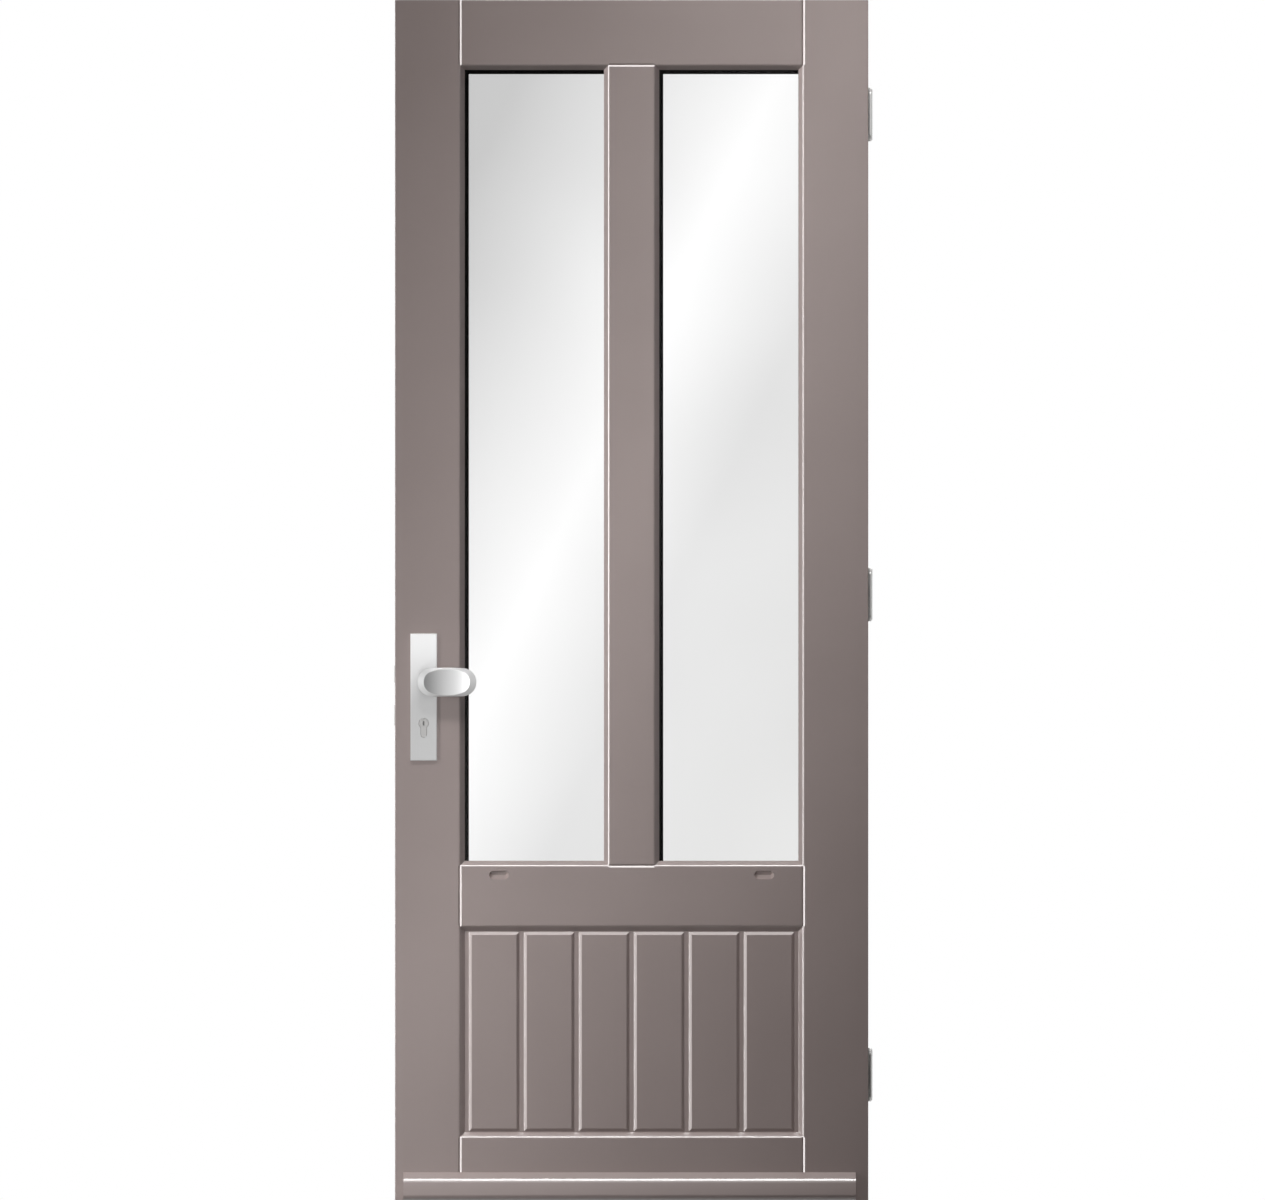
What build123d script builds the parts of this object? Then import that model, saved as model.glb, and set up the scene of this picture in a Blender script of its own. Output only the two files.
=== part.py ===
from build123d import *
import os
from math import atan, degrees, sqrt

os.makedirs("parts", exist_ok=True)

# Leaf and frame members, face widths measured arris to arris
LEAF_WIDTH = 830.0
LEAF_HEIGHT = 2115.0
LEAF_THICK = 54.0
STILE = 114.0
TOP_RAIL = 114.0
MID_RAIL = 106.0
BOTTOM_RAIL = 121.0
MUNTIN = 80.0
PANEL_HEIGHT = 370.0

# Mouldings: bevel round every opening, rebate behind it, grooves on the joints
BEVEL = 8.5
BEVEL_DEEP = 13.0
LIP = 14.0
REBATE = 20.0
BEAD = 12.0
BEAD_SLOPE = 7.0
MITRE_GAP = 0.4
MITRE_CUT = 80.0
ARRIS_R = 4.5
EDGE_R = 1.0
GROOVE = 3.0

# Double glazing units, set towards the hinge side and the sill so the dark edge shows on two sides
PANE = 4.0
TAPE = 2.0
TAPE_BACK = 1.0
EDGE_SEAL = 16.0
SEAL_SHOWN = 7.0
SEAL_HIDDEN = 0.5

# Lower panel with raised fields
FIELDS = 6
FIELD_GAP = 7.6
FIELD_SIDE = 7.0
FIELD_END = 1.5
FIELD_RISE = 6.0
FIELD_SLOPE = 5.3
PANEL_PLAY = 3.0

# Drain slots in the middle rail
DRAIN_WIDTH = 35.0
DRAIN_HEIGHT = 14.5
DRAIN_THROAT_WIDTH = 27.0
DRAIN_THROAT_HEIGHT = 7.0
DRAIN_DROP = 16.4
DRAIN_SPREAD = 465.0

# Weather bar
BAR_LOCK_INSET = 15.0
BAR_HINGE_INSET = 22.0
BAR_LOW = 11.0
BAR_TALL = 48.5
BAR_SLOPE = 11.5
BAR_DEEP = 36.0
BAR_LEAN = 6.0
BAR_BELLY = 1.0
BAR_NOSE_R = 12.0
BAR_FOOT_R = 9.0
DRIP = 4.0
DRIP_IN = 20.0

# Lock furniture
BACKSET = 50.5
SPINDLE_HEIGHT = 919.0
CYLINDER_DROP = 72.0
PLATE_WIDTH = 46.5
PLATE_TALL = 222.5
PLATE_DROP = 26.3
PLATE_THICK = 9.0
PLATE_EDGE = 1.2
CUTOUT_EDGE = 0.25
KNOB_LENGTH = 103.5
KNOB_TALL = 51.5
KNOB_BOW = 0.75
KNOB_FACE_LENGTH = 81.0
KNOB_FACE_TALL = 40.0
KNOB_FACE_BOW = 4.0
KNOB_BACK_LENGTH = 99.5
KNOB_BACK_TALL = 46.0
KNOB_BACK_BOW = 1.0
KNOB_RIM_R = 2.0
KNOB_OFFSET = 41.0
KNOB_STAND = 30.0
KNOB_RIM = 10.0
KNOB_THICK = 19.0
KNOB_DISH = 5.0
KNOB_EDGE_R = 1.2
NECK_R = 7.5
NECK_FLARE = 2.0
LEVER_DEEP = 12.0
LEVER_TALL = 18.0
LEVER_R = 5.0
LEVER_STAND = 42.0
LEVER_BEND = 16.0
LEVER_REACH = 90.0
LEVER_END_R = 3.0
CYLINDER_R = 8.5
CYLINDER_NECK = 10.0
CYLINDER_TALL = 33.0
CYLINDER_PROUD = 1.5
CYLINDER_PLAY = 0.25
PLUG_R = 6.5
PLUG_DEEP = 30.0
PLUG_PLAY = 0.1
KEYWAY_WIDE = 2.4
KEYWAY_TALL = 8.0
KEYWAY_DEEP = 24.0

# Lock edge
FACEPLATE_WIDE = 24.0
FACEPLATE_TALL = 235.0
FACEPLATE_THICK = 3.0
BOLT_THICK = 14.0
LATCH_TALL = 30.0
LATCH_UP = 14.0
DEAD_TALL = 36.0
DEAD_UP = -58.0
BOLT_DEEP = 25.0
BOLT_PROUD = 1.0
BOLT_PLAY = 0.2
LATCH_BEVEL = 8.0

# Butt hinges
HINGE_SIZE = 89.0
FLAP_THICK = 2.5
HINGE_GAP = 2.5
BARREL_R = 6.5
BARREL_GAP = 0.5
KNUCKLES = 5
KNUCKLE_PLAY = 0.4
PIN_R = 3.5
PIN_FIT = 0.05
PIN_SEAT = 0.02
PIN_CAP_R = 5.0
PIN_CAP = 2.5
PIN_CAP_EDGE = 1.5
FLAP_CORNER = 9.5
SEAT_PLAY = 0.2
SCREW_R = 2.75
SCREW_HEAD_R = 4.5
SCREW_ROWS = 58.0
SCREW_COLUMNS = 20.0
SINK_ANGLE = 90
BOTTOM_HINGE = 230.0
TOP_HINGE = 200.0

# Where the leaf sits: the origin is the middle of the bottom hinge's wall face
LEAF_RIGHT = -(FLAP_THICK + HINGE_GAP)
LEAF_LEFT = LEAF_RIGHT - LEAF_WIDTH
LEAF_MID = (LEAF_LEFT + LEAF_RIGHT) / 2
FLAP_SEAT = HINGE_SIZE / 2 - BARREL_R - BARREL_GAP
FACE_IN = FLAP_SEAT / 2
FACE_OUT = FACE_IN - LEAF_THICK
LEAF_BOTTOM = -BOTTOM_HINGE
LEAF_TOP = LEAF_BOTTOM + LEAF_HEIGHT
AXIS_X = -(FLAP_THICK + HINGE_GAP / 2)
AXIS_Y = FACE_IN + BARREL_GAP + BARREL_R

# Arris lines of the members
LOCK_ARRIS = LEAF_LEFT + STILE
HINGE_ARRIS = LEAF_RIGHT - STILE
MUNTIN_LEFT = LEAF_MID - MUNTIN / 2
MUNTIN_RIGHT = LEAF_MID + MUNTIN / 2
BOTTOM_ARRIS = LEAF_BOTTOM + BOTTOM_RAIL
MID_LOW = BOTTOM_ARRIS + PANEL_HEIGHT
MID_HIGH = MID_LOW + MID_RAIL
TOP_ARRIS = LEAF_TOP - TOP_RAIL
SETBACK = REBATE - BEVEL

# Layers of the infill, outside to inside
SEAT_OUT = FACE_OUT + LIP
SEAT_IN = FACE_IN - BEAD
GLASS_OUT = SEAT_OUT + TAPE
GLASS_IN = SEAT_IN - TAPE

# Lock positions
LOCK_X = LEAF_LEFT + BACKSET
SPINDLE_Z = LEAF_BOTTOM + SPINDLE_HEIGHT
CYLINDER_Z = SPINDLE_Z - CYLINDER_DROP
PLATE_Z = SPINDLE_Z - PLATE_DROP
PLATE_OUT = FACE_OUT - PLATE_THICK
PLATE_IN = FACE_IN + PLATE_THICK
FACEPLATE_Z = PLATE_Z
LATCH_Z = SPINDLE_Z + LATCH_UP
DEAD_Z = SPINDLE_Z + DEAD_UP


def upright(x, z):
    """Section plane of a piece that runs up from (x, z): across the leaf, then into it."""
    return Plane(origin=(x, FACE_OUT, z), x_dir=(1, 0, 0), z_dir=(0, 0, 1))


def level(x, z):
    """Section plane of a piece that runs towards the lock side from (x, z): up, then into the leaf."""
    return Plane(origin=(x, FACE_OUT, z), x_dir=(0, 0, 1), z_dir=(-1, 0, 0))


def facing_out(y):
    """Elevation plane at depth y, looking back at the viewer outside."""
    return Plane(origin=(0, y, 0), x_dir=(1, 0, 0), z_dir=(0, -1, 0))


def moulded(arris, way):
    """Corners of a moulded edge, from its arris back to the inner face."""
    sight = arris + way * BEVEL
    wall = sight - way * REBATE
    return [(arris, 0), (sight, BEVEL_DEEP), (sight, LIP), (wall, LIP), (wall, LEAF_THICK)]


def plain(edge):
    """Corners of a straight edge, from the outer face to the inner face."""
    return [(edge, 0), (edge, LEAF_THICK)]


def member(plane, low, high, length):
    """A frame member: its section between two edges, arrises rounded, run along the plane's normal."""
    with BuildPart() as timber:
        with BuildSketch(plane) as section:
            with BuildLine():
                Polyline(*low[::-1], *high, close=True)
            make_face()
            for end, edge in ((0, low), (-1, high)):
                arris = section.vertices().group_by(Axis.Y)[0].sort_by(Axis.X)[end]
                fillet(arris, EDGE_R if len(edge) == len(plain(0)) else ARRIS_R)
            fillet(section.vertices().group_by(Axis.Y)[-1], EDGE_R)
        extrude(amount=length)
    return timber.part


# Joint grooves, cut from both members that meet there
GROOVE_SIDE = GROOVE * sqrt(2)
OUTER_RAILS = [(TOP_ARRIS, LEAF_TOP), (MID_LOW, MID_HIGH), (LEAF_BOTTOM, BOTTOM_ARRIS)]
INNER_RAILS = [
    (TOP_ARRIS + SETBACK, LEAF_TOP),
    (MID_LOW + SETBACK, MID_HIGH - SETBACK),
    (LEAF_BOTTOM, BOTTOM_ARRIS - SETBACK),
]

with BuildPart() as grooves:
    for rails, depth, back in ((OUTER_RAILS, 0, 0), (INNER_RAILS, LEAF_THICK, SETBACK)):
        for low, high in rails:
            with BuildSketch(upright(0, low)):
                with Locations((LOCK_ARRIS - back, depth), (HINGE_ARRIS + back, depth)):
                    Rectangle(GROOVE_SIDE, GROOVE_SIDE, rotation=45)
            extrude(amount=high - low)
        with BuildSketch(level(MUNTIN_RIGHT - back, 0)):
            with Locations((TOP_ARRIS + back, depth), (MID_HIGH - back, depth)):
                Rectangle(GROOVE_SIDE, GROOVE_SIDE, rotation=45)
        extrude(amount=MUNTIN - 2 * back)


def euro_outline(grow):
    """Profile cylinder outline at the lock, grown all round: round head and narrow foot."""
    foot = CYLINDER_TALL - CYLINDER_R
    with Locations((LOCK_X, CYLINDER_Z)):
        Circle(CYLINDER_R + grow)
    with Locations((LOCK_X, CYLINDER_Z - (foot - CYLINDER_NECK / 2) / 2)):
        SlotOverall(foot + CYLINDER_NECK / 2 + 2 * grow, CYLINDER_NECK + 2 * grow, rotation=90)


# Lock stile, with the ways for the cylinder, the faceplate and the two bolts
LOCK_EDGE = Plane(origin=(LEAF_LEFT, FACE_OUT + LEAF_THICK / 2, 0), x_dir=(0, -1, 0), z_dir=(-1, 0, 0))

with BuildPart() as lock_stile:
    add(member(upright(LEAF_LEFT, LEAF_BOTTOM), plain(0), moulded(STILE, 1), LEAF_HEIGHT))
    with BuildSketch(facing_out(FACE_IN)):
        euro_outline(CYLINDER_PLAY)
    extrude(amount=LEAF_THICK, mode=Mode.SUBTRACT)
    with BuildSketch(LOCK_EDGE):
        with Locations((0, FACEPLATE_Z)):
            SlotOverall(FACEPLATE_TALL + 2 * SEAT_PLAY, FACEPLATE_WIDE + 2 * SEAT_PLAY, rotation=90)
    extrude(amount=-FACEPLATE_THICK, mode=Mode.SUBTRACT)
    with BuildSketch(LOCK_EDGE):
        for z, tall in ((LATCH_Z, LATCH_TALL), (DEAD_Z, DEAD_TALL)):
            with Locations((0, z)):
                Rectangle(BOLT_THICK + 2 * BOLT_PLAY, tall + 2 * BOLT_PLAY)
    extrude(amount=-BOLT_DEEP, mode=Mode.SUBTRACT)
    add(grooves.part, mode=Mode.SUBTRACT)

# Hinge stile, with a shallow seat for each hinge flap
HINGE_EDGE = Plane(origin=(LEAF_RIGHT, FACE_IN, 0), x_dir=(0, 1, 0), z_dir=(1, 0, 0))
HINGE_TOP = LEAF_TOP - TOP_HINGE
HINGES = {"bottom": 0.0, "middle": HINGE_TOP / 2, "top": HINGE_TOP}


def flap_outline(z, grow):
    """Hinge flap outline on an edge plane, its far corners rounded, open at the inner face."""
    with Locations((-FLAP_SEAT / 2, z)):
        Rectangle(FLAP_SEAT + 2 * grow, HINGE_SIZE + 2 * grow)


with BuildPart() as hinge_stile:
    add(member(upright(LEAF_RIGHT, LEAF_BOTTOM), moulded(-STILE, -1), plain(0), LEAF_HEIGHT))
    for z in HINGES.values():
        with BuildSketch(HINGE_EDGE) as seat:
            flap_outline(z, SEAT_PLAY)
            fillet(seat.vertices().group_by(Axis.X)[0], FLAP_CORNER)
        extrude(amount=-FLAP_THICK, mode=Mode.SUBTRACT)
    add(grooves.part, mode=Mode.SUBTRACT)

# Rails, their ends coped over the mouldings of the stiles
RAIL_RIGHT = HINGE_ARRIS + SETBACK
RAIL_LENGTH = LEAF_WIDTH - 2 * (STILE - SETBACK)


def rail(z, low, high):
    """A rail between the stiles, coped over them and grooved at its joints."""
    with BuildPart() as timber:
        add(member(level(RAIL_RIGHT, z), low, high, RAIL_LENGTH))
        add(lock_stile.part, mode=Mode.SUBTRACT)
        add(hinge_stile.part, mode=Mode.SUBTRACT)
        add(grooves.part, mode=Mode.SUBTRACT)
    return timber.part


with BuildPart() as top_rail:
    add(rail(TOP_ARRIS, moulded(0, -1), plain(TOP_RAIL)))

with BuildPart() as bottom_rail:
    add(rail(LEAF_BOTTOM, plain(0), moulded(BOTTOM_RAIL, 1)))

# Middle rail, with two drain slots that scoop up to a throat at the foot of the glazing rebate
DRAIN_Z = MID_HIGH - DRAIN_DROP
THROAT_Z = DRAIN_Z + (DRAIN_HEIGHT - DRAIN_THROAT_HEIGHT) / 2
DRAINS = (LEAF_MID - DRAIN_SPREAD / 2, LEAF_MID + DRAIN_SPREAD / 2)

with BuildPart() as mid_rail:
    add(rail(MID_LOW, moulded(0, -1), moulded(MID_RAIL, 1)))
    for x in DRAINS:
        with BuildSketch(facing_out(FACE_OUT)):
            with Locations((x, DRAIN_Z)):
                SlotOverall(DRAIN_WIDTH, DRAIN_HEIGHT)
        with BuildSketch(facing_out(SEAT_OUT)):
            with Locations((x, THROAT_Z)):
                SlotOverall(DRAIN_THROAT_WIDTH, DRAIN_THROAT_HEIGHT)
        loft(ruled=True, mode=Mode.SUBTRACT)

# Muntin, its ends coped over the mouldings of the rails
with BuildPart() as muntin:
    add(member(upright(MUNTIN_LEFT, MID_HIGH - SETBACK), moulded(0, -1), moulded(MUNTIN, 1),
               TOP_ARRIS - MID_HIGH + 2 * SETBACK))
    add(top_rail.part, mode=Mode.SUBTRACT)
    add(mid_rail.part, mode=Mode.SUBTRACT)
    add(grooves.part, mode=Mode.SUBTRACT)


def window(left, right, low, high, grow):
    """A rectangle given by its four edges, grown all round."""
    with Locations(((left + right) / 2, (low + high) / 2)):
        Rectangle(right - left + 2 * grow, high - low + 2 * grow)


def ring(y, thick, outer, outer_grow, inner, inner_grow):
    """A flat frame that starts at depth y and goes inwards."""
    with BuildPart() as frame:
        with BuildSketch(facing_out(y)):
            window(*outer, outer_grow)
        extrude(amount=-thick)
        with BuildSketch(facing_out(y)):
            window(*inner, inner_grow)
        extrude(amount=-thick, mode=Mode.SUBTRACT)
    return frame.part


def sheet(y, thick, edges, grow):
    """A flat sheet that starts at depth y and goes inwards."""
    with BuildPart() as flat:
        with BuildSketch(facing_out(y)):
            window(*edges, grow)
        extrude(amount=-thick)
    return flat.part


def beads(sight):
    """Four mitred glazing beads behind a sight opening, sloped on the room side."""
    left, right, low, high = sight
    with BuildPart() as strips:
        add(ring(SEAT_IN, BEAD, sight, REBATE, sight, 0))
        inner_edges = strips.faces().sort_by(Axis.Y)[-1].inner_wires()[0].edges()
        chamfer(inner_edges, BEAD_SLOPE)
        for x, z, turn in ((left, low, 45), (right, high, 45), (left, high, -45), (right, low, -45)):
            with BuildSketch(facing_out(SEAT_IN)):
                with Locations((x, z)):
                    Rectangle(MITRE_CUT, MITRE_GAP, rotation=turn)
            extrude(amount=-BEAD, mode=Mode.SUBTRACT)
    return strips.part


# Glazing of the two openings
SIGHT_LOW = MID_HIGH + BEVEL
SIGHT_HIGH = TOP_ARRIS - BEVEL
SIGHTS = {
    "left": (LOCK_ARRIS + BEVEL, MUNTIN_LEFT - BEVEL, SIGHT_LOW, SIGHT_HIGH),
    "right": (MUNTIN_RIGHT + BEVEL, HINGE_ARRIS - BEVEL, SIGHT_LOW, SIGHT_HIGH),
}
SHORT_COVER = EDGE_SEAL - SEAL_SHOWN
LONG_COVER = EDGE_SEAL + SEAL_HIDDEN
SPACER = GLASS_IN - GLASS_OUT - 2 * PANE
pieces = {}
for side, sight in SIGHTS.items():
    left, right, low, high = sight
    unit = (left - SHORT_COVER, right + LONG_COVER, low - LONG_COVER, high + SHORT_COVER)
    pieces[f"{side}_outer_pane"] = sheet(GLASS_OUT, PANE, unit, 0)
    pieces[f"{side}_edge_seal"] = ring(GLASS_OUT + PANE, SPACER, unit, 0, unit, -EDGE_SEAL)
    pieces[f"{side}_inner_pane"] = sheet(GLASS_IN - PANE, PANE, unit, 0)
    with BuildPart() as tapes:
        add(ring(SEAT_OUT, TAPE, unit, 0, sight, TAPE_BACK))
        add(ring(GLASS_IN, TAPE, unit, 0, sight, TAPE_BACK))
    pieces[f"{side}_glazing_tapes"] = tapes.part
    pieces[f"{side}_beads"] = beads(sight)

# Lower panel: one board with six raised fields on each face
PANEL_SIGHT = (LOCK_ARRIS + BEVEL, HINGE_ARRIS - BEVEL, BOTTOM_ARRIS + BEVEL, MID_LOW - BEVEL)
FIELD_ROOM = PANEL_SIGHT[1] - PANEL_SIGHT[0] - 2 * FIELD_SIDE
FIELD_WIDE = (FIELD_ROOM - (FIELDS - 1) * FIELD_GAP) / FIELDS
FIELD_TALL = PANEL_SIGHT[3] - PANEL_SIGHT[2] - 2 * FIELD_END
FIELD_TAPER = degrees(atan(FIELD_SLOPE / FIELD_RISE))
FIELD_Z = (PANEL_SIGHT[2] + PANEL_SIGHT[3]) / 2

with BuildPart() as lower_panel:
    add(sheet(SEAT_OUT, SEAT_IN - SEAT_OUT, PANEL_SIGHT, REBATE - PANEL_PLAY))
    for y, out in ((SEAT_OUT, 1), (SEAT_IN, -1)):
        with BuildSketch(facing_out(y)):
            with Locations((LEAF_MID, FIELD_Z)):
                with GridLocations(FIELD_WIDE + FIELD_GAP, 0, FIELDS, 1):
                    Rectangle(FIELD_WIDE, FIELD_TALL)
        extrude(amount=out * FIELD_RISE, taper=FIELD_TAPER)

# Weather bar: sloped top, rounded nose, belly that leans out to a rounded foot, drip groove
BAR_LENGTH = LEAF_WIDTH - BAR_LOCK_INSET - BAR_HINGE_INSET
BAR_HIGH = BAR_LOW + BAR_TALL

with BuildPart() as weather_bar:
    with BuildSketch(level(LEAF_RIGHT - BAR_HINGE_INSET, LEAF_BOTTOM)) as bar_section:
        with BuildLine():
            nose = (BAR_HIGH - BAR_SLOPE, -BAR_DEEP + BAR_LEAN)
            foot = (BAR_LOW, -BAR_DEEP)
            belly = ((nose[0] + foot[0]) / 2, -BAR_DEEP + BAR_LEAN / 2 - BAR_BELLY)
            Polyline(foot, (BAR_LOW, 0), (BAR_HIGH, 0), nose)
            ThreePointArc(nose, belly, foot)
        make_face()
        for end, soft in ((-1, BAR_NOSE_R), (0, BAR_FOOT_R)):
            fillet(bar_section.vertices().sort_by(Axis.Y)[:2].sort_by(Axis.X)[end], soft)
        with Locations((BAR_LOW, -BAR_DEEP + DRIP_IN)):
            Rectangle(2 * DRIP, DRIP, mode=Mode.SUBTRACT)
    extrude(amount=BAR_LENGTH)


def lock_plate(y, out):
    """A long plate on the leaf face at depth y, edges bevelled, cut out for the cylinder."""
    with BuildPart() as plate:
        with BuildSketch(facing_out(y)):
            with Locations((LOCK_X, PLATE_Z)):
                Rectangle(PLATE_WIDTH, PLATE_TALL)
        extrude(amount=out * PLATE_THICK)
        front = 0 if out > 0 else -1
        chamfer(plate.faces().sort_by(Axis.Y)[front].edges(), PLATE_EDGE)
        with BuildSketch(facing_out(y)):
            euro_outline(CYLINDER_PLAY)
        extrude(amount=out * PLATE_THICK, mode=Mode.SUBTRACT)
        chamfer(plate.faces().sort_by(Axis.Y)[front].inner_wires()[0].edges(), CUTOUT_EDGE)
    return plate.part


with BuildPart() as outside_plate:
    add(lock_plate(FACE_OUT, 1))

with BuildPart() as inside_plate:
    add(lock_plate(FACE_IN, -1))

# Fixed knob: a flared neck on the lock axis and a wide oval head set off to one side, its face dished
KNOB_X = LOCK_X + KNOB_OFFSET
KNOB_BACK = PLATE_OUT - KNOB_STAND
KNOB_FRONT = KNOB_BACK - KNOB_THICK
DISH_R = (KNOB_FACE_LENGTH / 2) ** 2 / (2 * KNOB_DISH) + KNOB_DISH / 2
NECK_HALF = Plane(origin=(LOCK_X, PLATE_OUT, SPINDLE_Z), x_dir=(1, 0, 0), z_dir=(0, 0, -1))


def oval_meet(long, tall, bow):
    """Where end and side arcs of a four-arc oval meet, whose end radius is bow less than half its height."""
    half, rise = long / 2, tall / 2
    end_r = rise - bow
    side_r = ((half - end_r) ** 2 + rise**2 - end_r**2) / (2 * bow)
    share = side_r / (side_r - end_r)
    return share * (half - end_r), (side_r - rise) * (share - 1)


with BuildPart() as knob:
    for y, long, tall, bow in (
        (KNOB_BACK, KNOB_BACK_LENGTH, KNOB_BACK_TALL, KNOB_BACK_BOW),
        (KNOB_BACK - KNOB_RIM, KNOB_LENGTH, KNOB_TALL, KNOB_BOW),
        (KNOB_FRONT, KNOB_FACE_LENGTH, KNOB_FACE_TALL, KNOB_FACE_BOW),
    ):
        with BuildSketch(Plane(origin=(KNOB_X, y, SPINDLE_Z), x_dir=(1, 0, 0), z_dir=(0, -1, 0))):
            with BuildLine():
                meet_x, meet_y = oval_meet(long, tall, bow)
                for way in (1, -1):
                    x, z = way * meet_x, way * meet_y
                    ThreePointArc((-x, z), (0, way * tall / 2), (x, z))
                    ThreePointArc((x, z), (way * long / 2, 0), (x, -z))
            make_face()
    loft(ruled=True)
    fillet(knob.edges().group_by(Axis.Y)[2], KNOB_RIM_R)
    with Locations(Location((KNOB_X, KNOB_FRONT - DISH_R + KNOB_DISH, SPINDLE_Z))):
        Cylinder(DISH_R, 2 * KNOB_TALL, mode=Mode.SUBTRACT)
    fillet(knob.faces().sort_by(Axis.Y)[0].edges(), KNOB_EDGE_R)
    with BuildSketch(NECK_HALF):
        with BuildLine():
            Polyline((NECK_R + NECK_FLARE, 0), (0, 0), (0, KNOB_STAND), (NECK_R + NECK_FLARE, KNOB_STAND))
            RadiusArc((NECK_R + NECK_FLARE, KNOB_STAND), (NECK_R, KNOB_STAND - NECK_FLARE), NECK_FLARE)
            Line((NECK_R, KNOB_STAND - NECK_FLARE), (NECK_R, NECK_FLARE))
            RadiusArc((NECK_R, NECK_FLARE), (NECK_R + NECK_FLARE, 0), NECK_FLARE)
        make_face()
    revolve(axis=Axis((LOCK_X, PLATE_OUT, SPINDLE_Z), (0, -1, 0)))

# Inside lever: an upright bar section led out from the plate and round towards the hinges
with BuildPart() as inside_lever:
    with BuildLine() as lever_path:
        Polyline((LOCK_X, PLATE_IN, SPINDLE_Z), (LOCK_X, PLATE_IN + LEVER_STAND, SPINDLE_Z),
                 (LOCK_X + LEVER_REACH, PLATE_IN + LEVER_STAND, SPINDLE_Z))
        fillet(lever_path.vertices().sort_by(Axis.X)[:2].sort_by(Axis.Y)[-1], LEVER_BEND)
    with BuildSketch(facing_out(PLATE_IN)):
        with Locations((LOCK_X, SPINDLE_Z)):
            RectangleRounded(LEVER_DEEP, LEVER_TALL, LEVER_R)
    sweep()
    fillet(inside_lever.faces().sort_by(Axis.X)[-1].edges(), LEVER_END_R)

# Profile cylinder through the leaf, with a key plug that turns in its outer end
CYLINDER_OUT = PLATE_OUT - CYLINDER_PROUD
CYLINDER_IN = PLATE_IN + CYLINDER_PROUD

with BuildPart() as cylinder:
    with BuildSketch(facing_out(CYLINDER_IN)):
        euro_outline(0)
    extrude(amount=CYLINDER_IN - CYLINDER_OUT)
    with BuildSketch(facing_out(CYLINDER_OUT)):
        with Locations((LOCK_X, CYLINDER_Z)):
            Circle(PLUG_R + PLUG_PLAY)
    extrude(amount=-PLUG_DEEP, mode=Mode.SUBTRACT)
    with BuildSketch(facing_out(CYLINDER_IN)):
        with Locations((LOCK_X, CYLINDER_Z)):
            Rectangle(KEYWAY_WIDE, KEYWAY_TALL)
    extrude(amount=KEYWAY_DEEP, mode=Mode.SUBTRACT)

with BuildPart() as key_plug:
    with BuildSketch(facing_out(CYLINDER_OUT)):
        with Locations((LOCK_X, CYLINDER_Z)):
            Circle(PLUG_R)
            Rectangle(KEYWAY_WIDE, KEYWAY_TALL, mode=Mode.SUBTRACT)
    extrude(amount=-KEYWAY_DEEP)
    with BuildSketch(facing_out(CYLINDER_OUT + KEYWAY_DEEP)):
        with Locations((LOCK_X, CYLINDER_Z)):
            Circle(PLUG_R)
    extrude(amount=KEYWAY_DEEP - PLUG_DEEP)

# Lock edge: faceplate let in flush, bolts drawn back to it
EDGE_SCREWS = (FACEPLATE_TALL - FACEPLATE_WIDE) / 2

with BuildPart() as lock_faceplate:
    with BuildSketch(LOCK_EDGE):
        with Locations((0, FACEPLATE_Z)):
            SlotOverall(FACEPLATE_TALL, FACEPLATE_WIDE, rotation=90)
        for z, tall in ((LATCH_Z, LATCH_TALL), (DEAD_Z, DEAD_TALL)):
            with Locations((0, z)):
                Rectangle(BOLT_THICK + 2 * BOLT_PLAY, tall + 2 * BOLT_PLAY, mode=Mode.SUBTRACT)
    extrude(amount=-FACEPLATE_THICK)
    with Locations(LOCK_EDGE):
        with Locations((0, FACEPLATE_Z - EDGE_SCREWS), (0, FACEPLATE_Z + EDGE_SCREWS)):
            CounterSinkHole(SCREW_R, SCREW_HEAD_R, FACEPLATE_THICK, SINK_ANGLE)


def lock_bolt(z, tall):
    """A bolt drawn back into the lock edge, its nose just proud of the faceplate."""
    with BuildPart() as block:
        with BuildSketch(LOCK_EDGE.offset(BOLT_PROUD)):
            with Locations((0, z)):
                Rectangle(BOLT_THICK, tall)
        extrude(amount=-BOLT_DEEP - BOLT_PROUD)
    return block.part


with BuildPart() as latch_bolt:
    add(lock_bolt(LATCH_Z, LATCH_TALL))
    nose_edge = latch_bolt.faces().sort_by(Axis.X)[0].edges().sort_by(Axis.Y)[-1]
    chamfer(nose_edge, LATCH_BEVEL)

with BuildPart() as dead_bolt:
    add(lock_bolt(DEAD_Z, DEAD_TALL))

# Butt hinges: leaf and frame flaps with alternate knuckles on one pin
KNUCKLE = HINGE_SIZE / KNUCKLES


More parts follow.
